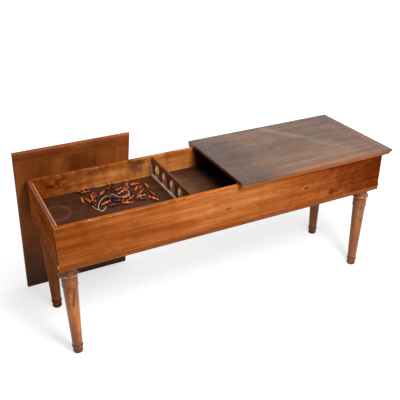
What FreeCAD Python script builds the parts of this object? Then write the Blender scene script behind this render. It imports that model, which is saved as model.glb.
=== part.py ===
import FreeCAD, Part
import math
import os
import re
import Sketcher

# A games table: a long open case on turned legs, with an arched divider on its play floor, loose pins,
# a spinning top and a cord. Its top is two lift-off halves: the right one is on, the left one leans behind.
# Sizes are millimetres. +X runs along the case, -Y is the front, +Z is up.

Vector = FreeCAD.Vector
Rotation = FreeCAD.Rotation
Placement = FreeCAD.Placement

# Driving dimensions, with angles in degrees
SIZES = {
    # case of four boards round a plank floor
    "case_length": 1812,
    "case_depth": 530,
    "case_height": 225,
    "board": 22,
    "rim_round": 2,
    "play_depth": 112,
    "floor_board": 14,
    "floor_gap": 0.6,
    "bearer_width": 22,
    "bearer_height": 28,
    "cross_bearer_width": 45,
    # strips along the foot of the case and beads across its ends
    "base_drop": 2,
    "base_strip_height": 22,
    "base_strip_proud": 2.5,
    "base_strip_round": 2,
    "base_bead_rise": 16,
    "base_bead_height": 25,
    "base_bead_proud": 5,
    # legs and the blocks that hold their tenons
    "leg_height": 530,
    "leg_inset_along": 53,
    "leg_inset_across": 67,
    "block_side": 80,
    "tenon_radius": 20,
    "tenon_length": 60,
    "tenon_clearance": 0.2,
    "bore_end_clearance": 3,
    "foot_radius": 25,
    "foot_round": 9,
    "ankle_height": 38,
    "ankle_radius": 25,
    "ankle_ring_height": 8,
    "ankle_ring_proud": 3.5,
    "shaft_top_radius": 36,
    "collar_bead_height": 8,
    "collar_bead_proud": 3.5,
    "collar_radius": 38.5,
    "collar_height": 31,
    "cove_height": 17,
    "ring_height": 17,
    "ring_proud": 8,
    "neck_radius": 37,
    "neck_height": 20,
    "flare_radius": 46,
    "flare_height": 28,
    "flare_hollow": 4,
    "leg_cap_height": 4,
    # divider with arches, its sill and its cleats
    "divider_from_middle": 241,
    "divider_board": 10,
    "divider_below_rim": 3,
    "divider_end_gap": 0.3,
    "arch_width": 52,
    "arch_pitch": 96,
    "arch_row_offset": 23,
    "arch_crown_depth": 17,
    "sill_height": 16,
    "sill_width": 13,
    "cleat_side": 12,
    "cleat_height": 46,
    # half tops
    "joint_gap": 1,
    "overhang": 33,
    "lid_board": 16,
    "lid_seat": 9,
    "nose_round": 8,
    "joint_edge_round": 2,
    "plank_gap": 0.5,
    "clamp_width": 64,
    "lip_gap": 1,
    "lip_wall": 3,
    "lip_drop": 20,
    "ovolo": 24,
    "batten_width": 55,
    "batten_height": 18,
    "batten_chamfer": 5,
    "batten_end_gap": 6,
    "batten_inset": 110,
    # left half top, leaning on the back rim
    "lean_angle": 13,
    "lean_gap": 0.3,
    "lean_from_middle": 662,
    # pins and spinning top
    "rest_gap": 0.3,
    "pin_length": 54,
    "pin_base_radius": 7.5,
    "pin_base_height": 4,
    "pin_belly_radius": 8.5,
    "pin_neck_radius": 3.5,
    "pin_head_radius": 6.2,
    "pin_crown_radius": 3,
    "top_radius": 17,
    "top_point_radius": 2,
    "top_point_height": 14,
    "top_rim_height": 6,
    "top_shoulder_height": 20,
    "top_stem_radius": 4,
    "top_stem_height": 22,
    # cord
    "cord_diameter": 3.2,
    "knot_radius": 4.2,
    # how far a cutting shape runs past what it cuts
    "overrun": 5,
}

# Sizes that follow from the driving ones
FORMULAS = {
    "rim_height": "leg_height + case_height",
    "half_length": "case_length / 2",
    "half_depth": "case_depth / 2",
    "inner_half_length": "half_length - board",
    "inner_half_depth": "half_depth - board",
    "play_height": "rim_height - play_depth",
    "bearing_height": "play_height - floor_board",
    "floor_width": "(2 * inner_half_depth - 4 * floor_gap) / 3",
    "leg_along": "half_length - leg_inset_along",
    "leg_across": "half_depth - leg_inset_across",
    "base_bottom": "leg_height - base_drop",
    "base_strip_top": "base_bottom + base_strip_height",
    "base_bead_bottom": "base_bottom + base_bead_rise",
    "base_bead_top": "base_bead_bottom + base_bead_height",
    "flare_top": "leg_height - leg_cap_height",
    "flare_bottom": "flare_top - flare_height",
    "neck_bottom": "flare_bottom - neck_height",
    "ring_bottom": "neck_bottom - ring_height",
    "collar_top": "ring_bottom - cove_height",
    "collar_bottom": "collar_top - collar_height",
    "shaft_top": "collar_bottom - collar_bead_height",
    "shaft_bottom": "ankle_height + ankle_ring_height",
    "divider_left": "-divider_from_middle - divider_board / 2",
    "divider_top": "rim_height - divider_below_rim",
    "divider_half": "inner_half_depth - divider_end_gap",
    "arch_rise": "arch_width / 2",
    "arch_spring": "divider_top - arch_crown_depth - arch_rise",
    "sill_left": "divider_left - sill_width",
    "sill_top": "play_height + sill_height",
    "lid_length": "half_length + overhang - joint_gap / 2",
    "lid_case_end": "half_length - joint_gap / 2",
    "lid_half": "half_depth + overhang",
    "lid_top": "lid_seat + lid_board",
    "lip_reach": "lip_gap + lip_wall",
    "ovolo_reach": "lip_reach + ovolo",
    "ovolo_bottom": "lid_seat - ovolo",
    "batten_half": "inner_half_depth - batten_end_gap",
    "batten_bottom": "lid_seat - batten_height",
    "lean_height": "joint_edge_round + (lid_top - joint_edge_round) * sin(lean_angle)"
    " - joint_edge_round * cos(lean_angle)",
    "lean_back": "(lean_gap + rim_round + lid_top + (half_depth - rim_round) * cos(lean_angle)"
    " + (rim_height - rim_round - lean_height) * sin(lean_angle)) / cos(lean_angle)",
    "lean_foot_back": "lean_back + lip_drop * cos(lean_angle)",
    "origin_along": "(half_length + overhang - lean_from_middle - lid_half) / 2",
    "origin_across": "(lean_foot_back - lid_half) / 2",
    "top_rim_top": "top_point_height + top_rim_height",
    "top_stem_bottom": "top_rim_top + top_shoulder_height",
    "top_length": "top_stem_bottom + top_stem_height",
    "yard_length": "inner_half_length + divider_left",
}

PLANK_NAMES = ("front", "middle", "back")
ARCH_COUNT = 4

# Cross bearers from the middle of the case, as shares of its inner half length
CROSS_BEARER_NAMES = ("left", "middle", "right")
CROSS_BEARER_SHARES = (-0.5, 0, 0.5)

# Joints between the planks of each half top, as shares of its depth
RIGHT_TOP_JOINT_SHARES = (0.167, 0.583)
LEFT_TOP_JOINT_SHARES = (0.283, 0.7)

# Heights on a turned pin, as shares of its length
PIN_WAIST_SHARE = 0.17
PIN_BELLY_SHARES = (0.36, 0.46)
PIN_NECK_SHARE = 0.70
PIN_HEAD_SHARES = (0.82, 0.90)

# Places of the middles of lying pins, as shares of the left compartment's length and depth from its front
# left corner, each with the way its head points
LYING_PIN_SHARES = [
    (0.36, 0.96, 10),
    (0.395, 0.915, 10),
    (0.45, 0.965, 10),
    (0.33, 0.76, 80),
    (0.37, 0.725, 100),
    (0.41, 0.75, -100),
    (0.45, 0.79, -75),
    (0.51, 0.815, 50),
    (0.65, 0.82, 30),
    (0.655, 0.745, 205),
    (0.48, 0.59, 195),
    (0.53, 0.515, 5),
    (0.59, 0.575, -10),
    (0.635, 0.495, -15),
    (0.675, 0.565, 210),
    (0.66, 0.625, 20),
    (0.73, 0.675, -95),
    (0.80, 0.855, 10),
    (0.785, 0.755, 55),
    (0.82, 0.755, 60),
    (0.875, 0.765, 85),
    (0.755, 0.51, -20),
    (0.77, 0.57, 10),
    (0.785, 0.645, 215),
    (0.845, 0.46, -55),
    (0.865, 0.57, 90),
]
STANDING_PIN_SHARES = [(0.56, 0.825), (0.60, 0.825), (0.40, 0.615), (0.72, 0.82)]
TOP_PLACE_SHARES = (0.55, 0.66)
TOP_TURN = 5

# Cord over the play floor, from its curled end to its knotted end, in the table's own frame
CORD_ROUTE = [
    (-410, 160),
    (-410, 170),
    (-425, 180),
    (-440, 170),
    (-440, 150),
    (-430, 135),
    (-425, 115),
    (-435, 95),
    (-455, 85),
    (-480, 80),
    (-495, 85),
    (-500, 105),
    (-510, 125),
    (-525, 130),
    (-545, 125),
    (-570, 110),
    (-590, 90),
    (-605, 65),
    (-620, 30),
    (-625, 10),
    (-625, -5),
    (-620, -15),
    (-605, -10),
    (-595, 0),
    (-585, 20),
]
TAIL_ROUTE = [(-630, 5), (-635, 20), (-640, 40), (-645, 55)]
KNOT_PLACE = (-628, 3)

doc = FreeCAD.newDocument("games_table")
sheet = doc.addObject("Spreadsheet::Sheet", "Sizes")
pieces = {}


def fill_sheet():
    rows = [(name, str(size)) for name, size in SIZES.items()]
    rows += [(name, "=" + formula) for name, formula in FORMULAS.items()]
    for row, (name, content) in enumerate(rows, start=1):
        sheet.set(f"A{row}", name)
        sheet.set(f"B{row}", content)
        sheet.setAlias(f"B{row}", name)
    doc.recompute()


def linked(formula):
    """The formula with the sheet's name put before each of its sizes."""
    known = SIZES.keys() | FORMULAS.keys()
    return re.sub(r"[a-z_]+", lambda m: "Sizes." + m[0] if m[0] in known else m[0], formula)


def value(formula):
    return float(sheet.evalExpression(linked(formula)))


def bind(thing, **formulas):
    for path, formula in formulas.items():
        thing.setExpression(path.replace("__", "."), linked(formula))


def arc_between(start, end, radius, side):
    """A minor arc from start to end, its centre to the left or right of the way there."""
    chord = end - start
    normal = Vector(-chord.y, chord.x, 0).normalize()
    rise = math.sqrt(max(radius**2 - chord.Length**2 / 4, 0))
    sag = radius - rise if side == "right" else rise - radius
    return Part.Arc(start, (start + end) / 2 + normal * sag, end)


def draw(body, plane, outline, offset="0"):
    """A closed sketch on one of the body's planes. A corner is (across, up) in formulas. A corner that also
    has ("round", radius, side) or ("bulge", height, side) goes on to the next corner by an arc."""
    sketch = body.newObject("Sketcher::SketchObject", body.Name + "_sketch")
    support = next(feature for feature in body.Origin.OriginFeatures if feature.Role == plane)
    sketch.AttachmentSupport = [(support, "")]
    sketch.MapMode = "FlatFace"
    bind(sketch, AttachmentOffset__Base__z=offset)
    points = [Vector(value(corner[0]), value(corner[1]), 0) for corner in outline]
    ends = []
    radii = {}
    for index, corner in enumerate(outline):
        after = (index + 1) % len(outline)
        if len(corner) == 2:
            sketch.addGeometry(Part.LineSegment(points[index], points[after]))
            ends.append((1, 2))
            continue
        kind, size, side = corner[2]
        if kind == "bulge":
            across = f"({outline[after][0]}) - ({corner[0]})"
            up = f"({outline[after][1]}) - ({corner[1]})"
            size = f"(({across})^2 + ({up})^2) / (8 * ({size})) + ({size}) / 2"
        radii[index] = size
        sketch.addGeometry(arc_between(points[index], points[after], value(size), side))
        ends.append((1, 2) if side == "left" else (2, 1))
    for index, corner in enumerate(outline):
        after = (index + 1) % len(outline)
        sketch.addConstraint(
            Sketcher.Constraint("Coincident", index, ends[index][1], after, ends[after][0])
        )
        for kind, formula in (("DistanceX", corner[0]), ("DistanceY", corner[1])):
            rule = Sketcher.Constraint(kind, -1, 1, index, ends[index][0], value(formula))
            sketch.setExpression(f"Constraints[{sketch.addConstraint(rule)}]", linked(formula))
        if index in radii:
            rule = Sketcher.Constraint("Radius", index, value(radii[index]))
            sketch.setExpression(f"Constraints[{sketch.addConstraint(rule)}]", linked(radii[index]))
    return sketch


def prism(name, plane, outline, length, offset="0"):
    """A body padded from an outline along its plane's normal, which is +Z, -Y or +X."""
    body = doc.addObject("PartDesign::Body", name)
    sketch = draw(body, plane, outline, offset)
    pad = body.newObject("PartDesign::Pad", name + "_pad")
    pad.Profile = sketch
    bind(pad, Length=length)
    return body


def turning(name, outline):
    """A body turned about +Z from an outline of (radius, height) corners."""
    body = doc.addObject("PartDesign::Body", name)
    sketch = draw(body, "XZ_Plane", outline)
    turned = body.newObject("PartDesign::Revolution", name + "_turning")
    turned.Profile = sketch
    turned.ReferenceAxis = (sketch, ["V_Axis"])
    turned.Angle = 360
    return body


def box(name, low, size):
    block = doc.addObject("Part::Box", name)
    bind(block, Length=size[0], Width=size[1], Height=size[2])
    bind(block, Placement__Base__x=low[0], Placement__Base__y=low[1], Placement__Base__z=low[2])
    return block


def combine(kind, name, base, tool):
    result = doc.addObject("Part::" + kind, name)
    result.Base = base
    result.Tool = tool
    return result


def set_in_table(piece, label, along="0", across="0", up="0"):
    """Names a finished piece and sets its own zero at a place in the table's frame."""
    piece.Label = label
    bind(
        piece,
        Placement__Base__x=f"{along} - origin_along",
        Placement__Base__y=f"{across} - origin_across",
        Placement__Base__z=up,
    )
    pieces[label] = piece


def set_in_top(piece, label, side):
    """Names a finished piece of a half top. That half's own frame has +X from its joint edge to its outer
    end, +Z up through its top face and zero height on the rim. The left half stands on its joint edge."""
    if side == "left":
        turn = math.radians(value("lean_angle"))
        outward = Vector(0, -math.sin(turn), math.cos(turn))
        upward = Vector(0, -math.cos(turn), -math.sin(turn))
        piece.Placement = Placement(Vector(), Rotation(outward, Vector(-1, 0, 0), upward, "ZXY"))
        set_in_table(piece, label, "-lean_from_middle", "lean_back", "lean_height")
    else:
        set_in_table(piece, label, "joint_gap / 2", "0", "rim_height")


def board_section(low, high, bottom, top, rounding):
    """A board's upright section, with its two top edges rounded."""
    return [
        (low, bottom),
        (high, bottom),
        (high, f"{top} - {rounding}", ("round", rounding, "left")),
        (f"{high} - {rounding}", top),
        (f"{low} + {rounding}", top, ("round", rounding, "left")),
        (low, f"{top} - {rounding}"),
    ]


def build_boards():
    for side, low, high in (
        ("front", "-half_depth", "-inner_half_depth"),
        ("back", "inner_half_depth", "half_depth"),
    ):
        section = board_section(low, high, "leg_height", "rim_height", "rim_round")
        name = f"{side}_board"
        set_in_table(prism(name, "YZ_Plane", section, "case_length", "-half_length"), name)
    for side, low, high in (
        ("left", "-half_length", "-inner_half_length"),
        ("right", "inner_half_length", "half_length"),
    ):
        section = board_section(low, high, "leg_height", "rim_height", "rim_round")
        name = f"{side}_end_board"
        set_in_table(prism(name, "XZ_Plane", section, "2 * inner_half_depth", "-inner_half_depth"), name)


def build_floor():
    def bar(name, low, size):
        set_in_table(box(name, ("0", "0", "0"), size), name, *low)

    for index, side in enumerate(PLANK_NAMES):
        low_edge = f"-inner_half_depth + floor_gap + {index} * (floor_width + floor_gap)"
        bar(
            f"{side}_floor_plank",
            ("-inner_half_length + floor_gap", low_edge, "bearing_height"),
            ("2 * (inner_half_length - floor_gap)", "floor_width", "floor_board"),
        )
    bearer_bottom = "bearing_height - bearer_height"
    long_bearer = ("2 * (inner_half_length - block_side)", "bearer_width", "bearer_height")
    for side, low_edge in (
        ("front", "-inner_half_depth"),
        ("back", "inner_half_depth - bearer_width"),
    ):
        bar(f"{side}_bearer", ("block_side - inner_half_length", low_edge, bearer_bottom), long_bearer)
    end_bearer = ("bearer_width", "2 * (inner_half_depth - block_side)", "bearer_height")
    for side, low_edge in (
        ("left", "-inner_half_length"),
        ("right", "inner_half_length - bearer_width"),
    ):
        bar(f"{side}_bearer", (low_edge, "block_side - inner_half_depth", bearer_bottom), end_bearer)
    for side, share in zip(CROSS_BEARER_NAMES, CROSS_BEARER_SHARES):
        bar(
            f"{side}_cross_bearer",
            (
                f"{share} * inner_half_length - cross_bearer_width / 2",
                "bearer_width - inner_half_depth",
                bearer_bottom,
            ),
            ("cross_bearer_width", "2 * (inner_half_depth - bearer_width)", "bearer_height"),
        )


def mitred(name, strip, inner_corners, outer_corners, bottom, top):
    """A strip of moulding cut to a plan whose ends slant from its inner to its outer corners."""
    plan = prism(
        name + "_plan",
        "XY_Plane",
        [inner_corners[0], outer_corners[0], outer_corners[1], inner_corners[1]],
        f"{top} - ({bottom}) + 2 * overrun",
        f"{bottom} - overrun",
    )
    return combine("Common", name, strip, plan)


def build_base_mouldings():
    """The strips along the front and back of the case and the half-round beads across its ends."""
    for side, sign, turn in (("front", -1, "right"), ("back", 1, "left")):
        name = f"{side}_base_moulding"
        face, edge = f"{sign} * half_depth", f"{sign} * (half_depth + base_strip_proud)"
        section = [
            (face, "base_bottom"),
            (f"{edge} - {sign} * base_strip_round", "base_bottom", ("round", "base_strip_round", turn)),
            (edge, "base_bottom + base_strip_round"),
            (edge, "base_strip_top"),
            (face, "base_strip_top"),
        ]
        set_in_table(prism(name, "YZ_Plane", section, "case_length", "-half_length"), name)
    for side, sign, turn in (("left", -1, "right"), ("right", 1, "left")):
        name = f"{side}_base_moulding"
        face = f"{sign} * half_length"
        section = [
            (face, "base_bead_bottom", ("bulge", "base_bead_proud", turn)),
            (face, "base_bead_top"),
        ]
        set_in_table(prism(name, "XZ_Plane", section, "case_depth", "-half_depth"), name)


def build_legs():
    outline = [
        ("0", "0"),
        ("foot_radius - foot_round", "0", ("round", "foot_round", "left")),
        ("foot_radius", "foot_round"),
        ("ankle_radius", "ankle_height", ("bulge", "ankle_ring_proud", "left")),
        ("ankle_radius", "shaft_bottom"),
        ("shaft_top_radius", "shaft_top", ("bulge", "collar_bead_proud", "left")),
        ("shaft_top_radius", "collar_bottom"),
        ("collar_radius", "collar_bottom"),
        ("collar_radius", "collar_top"),
        ("neck_radius", "collar_top"),
        ("neck_radius", "ring_bottom", ("bulge", "ring_proud", "left")),
        ("neck_radius", "neck_bottom"),
        ("neck_radius", "flare_bottom", ("bulge", "flare_hollow", "right")),
        ("flare_radius", "flare_top"),
        ("flare_radius", "leg_height"),
        ("tenon_radius", "leg_height"),
        ("tenon_radius", "leg_height + tenon_length"),
        ("0", "leg_height + tenon_length"),
    ]
    for end, along in (("left", -1), ("right", 1)):
        for side, across in (("front", -1), ("back", 1)):
            name = f"{side}_{end}"
            leg = turning(f"{name}_leg", outline)
            set_in_table(leg, f"{name}_leg", f"{along} * leg_along", f"{across} * leg_across")
            block = box(
                f"{name}_block_blank",
                (
                    f"{along} * (inner_half_length - block_side / 2) - block_side / 2",
                    f"{across} * (inner_half_depth - block_side / 2) - block_side / 2",
                    "leg_height",
                ),
                ("block_side", "block_side", "bearing_height - leg_height"),
            )
            bore = doc.addObject("Part::Cylinder", f"{name}_block_bore")
            bind(
                bore,
                Radius="tenon_radius + tenon_clearance",
                Height="tenon_length + bore_end_clearance + overrun",
                Placement__Base__x=f"{along} * leg_along",
                Placement__Base__y=f"{across} * leg_across",
                Placement__Base__z="leg_height - overrun",
            )
            set_in_table(combine("Cut", f"{name}_block", block, bore), f"{name}_block")


def build_divider():
    outline = [("-divider_half", "play_height")]
    for index in range(ARCH_COUNT):
        middle = f"arch_row_offset + ({index} - ({ARCH_COUNT} - 1) / 2) * arch_pitch"
        outline += [
            (f"{middle} - arch_rise", "play_height"),
            (f"{middle} - arch_rise", "arch_spring", ("round", "arch_rise", "right")),
            (middle, "arch_spring + arch_rise", ("round", "arch_rise", "right")),
            (f"{middle} + arch_rise", "arch_spring"),
            (f"{middle} + arch_rise", "play_height"),
        ]
    outline += [
        ("divider_half", "play_height"),
        ("divider_half", "divider_top"),
        ("-divider_half", "divider_top"),
    ]
    divider = prism("arched_divider", "YZ_Plane", outline, "divider_board", "divider_left")
    set_in_table(divider, "arched_divider")
    sill = box("divider_sill", ("0", "0", "0"), ("sill_width", "2 * divider_half", "sill_height"))
    set_in_table(sill, "divider_sill", "sill_left", "-divider_half", "play_height")
    for side, low_edge in (
        ("front", "-inner_half_depth"),
        ("back", "inner_half_depth - cleat_side"),
    ):
        name = f"{side}_divider_cleat"
        cleat = box(name, ("0", "0", "0"), ("cleat_side", "cleat_side", "cleat_height"))
        set_in_table(cleat, name, "divider_left - cleat_side", low_edge, "sill_top")


def build_top_boards(side, joint_shares):
    """The planks and end clamp of a half top, cut from one blank with rounded outer edges."""
    lengthwise = prism(
        f"{side}_top_lengthwise",
        "YZ_Plane",
        board_section("-lid_half", "lid_half", "lid_seat", "lid_top", "nose_round"),
        "lid_length",
    )
    crosswise = prism(
        f"{side}_top_crosswise",
        "XZ_Plane",
        [
            ("0", "lid_seat"),
            ("lid_length", "lid_seat"),
            ("lid_length", "lid_top - nose_round", ("round", "nose_round", "left")),
            ("lid_length - nose_round", "lid_top"),
            ("joint_edge_round", "lid_top", ("round", "joint_edge_round", "left")),
            ("0", "lid_top - joint_edge_round"),
        ],
        "2 * lid_half",
        "-lid_half",
    )
    blank = combine("Common", f"{side}_top_blank", lengthwise, crosswise)
    level, height = "lid_seat - overrun", "lid_board + 2 * overrun"

    def board(name, low, high):
        cutter = box(
            name + "_cutter",
            (low[0], low[1], level),
            (f"{high[0]} - ({low[0]})", f"{high[1]} - ({low[1]})", height),
        )
        set_in_top(combine("Common", name, blank, cutter), name, side)

    front, back = "-lid_half - overrun", "lid_half + overrun"
    board(f"{side}_top_clamp", ("lid_length - clamp_width", front), ("lid_length + overrun", back))
    joints = [f"(2 * {share} - 1) * lid_half" for share in joint_shares]
    lows = [front, f"{joints[0]} + plank_gap / 2", f"{joints[1]} + plank_gap / 2"]
    highs = [f"{joints[0]} - plank_gap / 2", f"{joints[1]} - plank_gap / 2", back]
    for place, low, high in zip(PLANK_NAMES, lows, highs):
        high_corner = ("lid_length - clamp_width - plank_gap", high)
        board(f"{side}_top_{place}_plank", ("-overrun", low), high_corner)


def build_top_mouldings(side):
    """The mouldings under a half top's front, back and outer end. Each sits on the rim with its inner part,
    and its lip hangs outside the case."""

    def profile(sign, face):
        turn = "left" if sign > 0 else "right"

        def out(reach):
            return f"{sign} * ({face} + {reach})"

        return [
            (out("lip_gap"), "-lip_drop"),
            (out("lip_reach"), "-lip_drop"),
            (out("lip_reach"), "ovolo_bottom", ("round", "ovolo", turn)),
            (out("ovolo_reach"), "lid_seat"),
            (out("-board"), "lid_seat"),
            (out("-board"), "0"),
            (out("lip_gap"), "0"),
        ]

    inner_end, inner_across = "lid_case_end - board - overrun", "(inner_half_depth - overrun)"
    outer_end = "lid_case_end + ovolo_reach + overrun"
    outer_across = "(half_depth + ovolo_reach + overrun)"
    for place, sign in (("front", -1), ("back", 1)):
        name = f"{side}_top_{place}_moulding"
        strip = prism(
            name + "_strip", "YZ_Plane", profile(sign, "half_depth"), "lid_case_end + ovolo_reach"
        )
        inner = [("-overrun", f"{sign} * {inner_across}"), (inner_end, f"{sign} * {inner_across}")]
        outer = [("-overrun", f"{sign} * {outer_across}"), (outer_end, f"{sign} * {outer_across}")]
        set_in_top(mitred(name, strip, inner, outer, "-lip_drop", "lid_seat"), name, side)
    name = f"{side}_top_end_moulding"
    strip = prism(
        name + "_strip",
        "XZ_Plane",
        profile(1, "lid_case_end"),
        "2 * (half_depth + ovolo_reach)",
        "-half_depth - ovolo_reach",
    )
    inner = [(inner_end, f"{end} * {inner_across}") for end in (-1, 1)]
    outer = [(outer_end, f"{end} * {outer_across}") for end in (-1, 1)]
    set_in_top(mitred(name, strip, inner, outer, "-lip_drop", "lid_seat"), name, side)


def build_top_battens(side):
    for place, low in (
        ("inner", "batten_inset"),
        ("outer", "lid_case_end - batten_inset - batten_width"),
    ):
        name = f"{side}_top_{place}_batten"
        section = [
            (f"{low} + batten_chamfer", "batten_bottom"),
            (f"{low} + batten_width - batten_chamfer", "batten_bottom"),
            (f"{low} + batten_width", "batten_bottom + batten_chamfer"),
            (f"{low} + batten_width", "lid_seat"),
            (low, "lid_seat"),
            (low, "batten_bottom + batten_chamfer"),
        ]
        set_in_top(prism(name, "XZ_Plane", section, "2 * batten_half", "-batten_half"), name, side)


def yard_place(along_share, across_share):
    """A place on the left compartment's floor, in the table's frame."""
    along = value("yard_length") * along_share - value("inner_half_length")
    across = value("inner_half_depth") * (2 * across_share - 1)
    return Vector(along, across, value("play_height + rest_gap"))


def lay_down(shape, place, turn, wide, narrow, balance):
    """A turned piece laid on its side, touching with its wide and its narrow ring. Each ring is (radius,
    height on the piece); balance is the height on the piece that lies over the place."""
    tilt = math.atan((wide[0] - narrow[0]) / (narrow[1] - wide[1]))
    rotation = Rotation(Vector(0, 0, 1), turn) * Rotation(Vector(0, 1, 0), 90 + math.degrees(tilt))
    axis = rotation.multVec(Vector(0, 0, 1))
    start = place - axis * balance
    start.z = place.z + wide[0] * math.cos(tilt) - axis.z * wide[1]
    laid = shape.copy()
    laid.Placement = Placement(start, rotation)
    return laid


def build_pins():
    length = "pin_length"
    outline = [
        ("0", "0"),
        ("pin_base_radius", "0"),
        ("pin_base_radius", "pin_base_height"),
        ("pin_neck_radius", f"{PIN_WAIST_SHARE} * {length}"),
        ("pin_belly_radius", f"{PIN_BELLY_SHARES[0]} * {length}"),
        ("pin_belly_radius", f"{PIN_BELLY_SHARES[1]} * {length}"),
        ("pin_neck_radius", f"{PIN_NECK_SHARE} * {length}"),
        ("pin_head_radius", f"{PIN_HEAD_SHARES[0]} * {length}"),
        ("pin_head_radius", f"{PIN_HEAD_SHARES[1]} * {length}"),
        ("pin_crown_radius", length),
        ("0", length),
    ]
    pattern = turning("pin_pattern", outline)
    doc.recompute()
    belly = (value("pin_belly_radius"), PIN_BELLY_SHARES[1] * value(length))
    head = (value("pin_head_radius"), PIN_HEAD_SHARES[1] * value(length))
    lying = []
    for along_share, across_share, turn in LYING_PIN_SHARES:
        place = yard_place(along_share, across_share)
        lying.append(lay_down(pattern.Shape, place, turn, belly, head, value(length) / 2))
    standing = []
    for shares in STANDING_PIN_SHARES:
        upright = pattern.Shape.copy()
        upright.Placement = Placement(yard_place(*shares), Rotation())
        standing.append(upright)
    for name, shapes in (("lying_pins", lying), ("standing_pins", standing)):
        group = doc.addObject("Part::Feature", name)
        group.Shape = Part.makeCompound(shapes)
        set_in_table(group, name)


def build_spinning_top():
    outline = [
        ("0", "0"),
        ("top_point_radius", "0"),
        ("top_radius", "top_point_height"),
        ("top_radius", "top_rim_top"),
        ("top_stem_radius", "top_stem_bottom"),
        ("top_stem_radius", "top_length"),
        ("0", "top_length"),
    ]
    pattern = turning("spinning_top_pattern", outline)
    doc.recompute()
    rim = (value("top_radius"), value("top_rim_top"))
    stem = (value("top_stem_radius"), value("top_length"))
    place = yard_place(*TOP_PLACE_SHARES)
    laid = lay_down(pattern.Shape, place, TOP_TURN, rim, stem, value("top_length") / 2)
    top = doc.addObject("Part::Feature", "spinning_top")
    top.Shape = Part.makeCompound([laid])
    set_in_table(top, "spinning_top")


def rounded_path(points):
    """Straight runs joined by arcs that use 0.45 of the shorter run at each corner."""
    corner_share = 0.45
    edges = []
    radii = []
    start = points[0]
    for before, corner, after in zip(points, points[1:], points[2:]):
        inward = (corner - before).normalize()
        outward = (after - corner).normalize()
        reach = corner_share * min((corner - before).Length, (after - corner).Length)
        radius = reach / math.tan(inward.getAngle(outward) / 2)
        entry, leave = corner - inward * reach, corner + outward * reach
        bisector = (outward - inward).normalize()
        sag = math.hypot(radius, reach) - radius
        edges.append(Part.LineSegment(start, entry).toShape())
        edges.append(Part.Arc(entry, corner + bisector * sag, leave).toShape())
        radii.append(radius)
        start = leave
    edges.append(Part.LineSegment(start, points[-1]).toShape())
    return Part.Wire(edges), radii


def build_cord():
    radius = value("cord_diameter") / 2
    level = value("play_height + rest_gap") + radius
    for name, route in (("pull_cord", CORD_ROUTE), ("cord_tail", TAIL_ROUTE)):
        points = [Vector(along, across, level) for along, across in route]
        path, radii = rounded_path(points)
        section = Part.Wire(Part.makeCircle(radius, points[0], points[1] - points[0]))
        tube = path.makePipeShell([section], True, False)
        expected = math.pi * radius**2 * path.Length
        print(f"{name}: length {path.Length:.1f}, tightest radius {min(radii):.1f}")
        print(f"{name}: volume {tube.Volume:.1f}, section times length {expected:.1f}")
        cord = doc.addObject("Part::Feature", name)
        cord.Shape = tube
        set_in_table(cord, name)
    knot = doc.addObject("Part::Sphere", "cord_knot")
    bind(knot, Radius="knot_radius")
    along, across = (str(size) for size in KNOT_PLACE)
    set_in_table(knot, "cord_knot", along, across, "play_height + rest_gap + knot_radius")


def export_pieces():
    doc.recompute()
    for item in doc.Objects:
        if "Invalid" in item.State or "Error" in item.State:
            raise RuntimeError(f"{item.Label} failed: {item.State}")
    for label, piece in pieces.items():
        if piece.Shape.isNull() or not piece.Shape.isValid() or not piece.Shape.Solids:
            raise RuntimeError(f"{label} has no valid solid")
    os.makedirs("parts", exist_ok=True)
    for label, piece in pieces.items():
        piece.Shape.exportStep(f"parts/{label}.step")
    print(f"{len(pieces)} pieces written")


fill_sheet()
build_boards()
build_floor()
build_base_mouldings()
build_legs()
build_divider()
for top_side, shares in (("right", RIGHT_TOP_JOINT_SHARES), ("left", LEFT_TOP_JOINT_SHARES)):
    build_top_boards(top_side, shares)
    build_top_mouldings(top_side)
    build_top_battens(top_side)
build_pins()
build_spinning_top()
build_cord()
export_pieces()
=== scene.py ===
import math
import random

import bmesh
import bpy
import numpy as np
from mathutils import Matrix, Vector


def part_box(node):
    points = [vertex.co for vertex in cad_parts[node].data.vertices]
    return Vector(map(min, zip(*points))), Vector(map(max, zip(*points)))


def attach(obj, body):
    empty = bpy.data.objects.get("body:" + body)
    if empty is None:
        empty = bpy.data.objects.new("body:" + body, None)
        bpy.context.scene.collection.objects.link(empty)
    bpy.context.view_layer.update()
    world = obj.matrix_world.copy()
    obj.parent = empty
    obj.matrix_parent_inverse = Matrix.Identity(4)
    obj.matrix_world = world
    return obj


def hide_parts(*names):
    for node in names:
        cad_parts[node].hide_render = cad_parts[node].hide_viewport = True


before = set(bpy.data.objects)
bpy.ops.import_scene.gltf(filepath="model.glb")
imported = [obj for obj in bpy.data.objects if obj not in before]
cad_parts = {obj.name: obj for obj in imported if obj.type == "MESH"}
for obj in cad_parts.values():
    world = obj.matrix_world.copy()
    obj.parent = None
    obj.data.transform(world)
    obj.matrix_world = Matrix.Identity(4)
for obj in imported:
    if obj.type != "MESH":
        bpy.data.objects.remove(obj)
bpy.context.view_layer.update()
random.seed(7)

# The table's own frame: its middle on the floor, with +X along the case and -Y to the front
MM_PER_M = 1000
FRONT_LOW, FRONT_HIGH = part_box("front_board")
BACK_LOW, BACK_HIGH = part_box("back_board")
MIDDLE = Vector(((FRONT_LOW.x + FRONT_HIGH.x) / 2, (FRONT_LOW.y + BACK_HIGH.y) / 2, 0))


def in_table(x, y, z):
    """A place in the table's own frame, in millimetres, as a place in the scene."""
    return MIDDLE + Vector((x, y, z)) / MM_PER_M


def to_table(place):
    """A place in the scene as a place in the table's own frame, in millimetres."""
    return (place - MIDDLE) * MM_PER_M


def middle_of(node):
    low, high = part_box(node)
    return (low + high) / 2


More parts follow.
